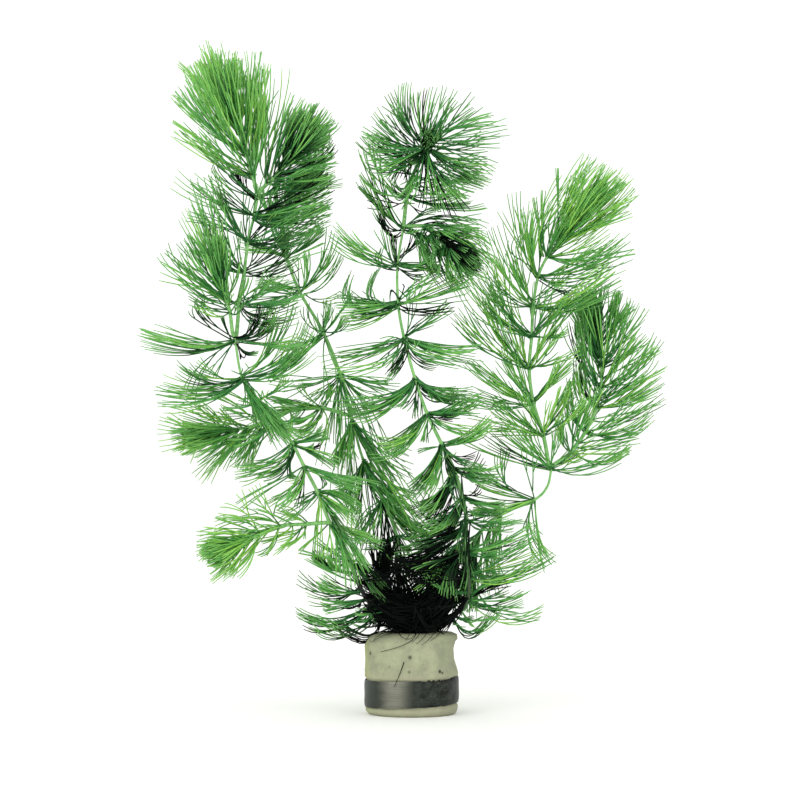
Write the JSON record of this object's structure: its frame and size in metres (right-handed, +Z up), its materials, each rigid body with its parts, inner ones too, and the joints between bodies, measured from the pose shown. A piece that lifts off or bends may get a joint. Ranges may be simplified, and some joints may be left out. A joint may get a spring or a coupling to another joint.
{
  "type": "hornwort bunch",
  "caption": "Upright bunch of hornwort: branching stems with whorls of thin forked leaves, held in a foam plug with a soft metal strip wound round its foot.",
  "frame": {"origin": "middle of the foam plug's flat underside", "axes": "+Z up along the bunch's height, +X to the bunch's right and -Y towards its front, as the picture shows it"},
  "size_m": [0.1955, 0.1024, 0.2456],
  "materials": {
    "foam": "matte",
    "soft_metal": "satin",
    "light_green": "satin",
    "mid_green": "satin",
    "deep_green": "satin"
  },
  "bodies": {
    "root": {"foam_plug": "foam", "lead_strip": "soft_metal", "left_stem": "mid_green", "left_upper_stem": "deep_green", "left_light_tip": "light_green", "left_dark_tip": "deep_green", "left_side_tuft": "mid_green", "left_low_shoot": "light_green", "back_stem": "deep_green", "back_upper_stem": "mid_green", "back_side_shoot": "light_green", "middle_stem": "deep_green", "middle_head": "deep_green", "middle_side_tuft": "deep_green", "right_stem": "mid_green", "right_inner_shoot": "mid_green", "right_outer_shoot": "mid_green"}
  },
  "joints": []
}
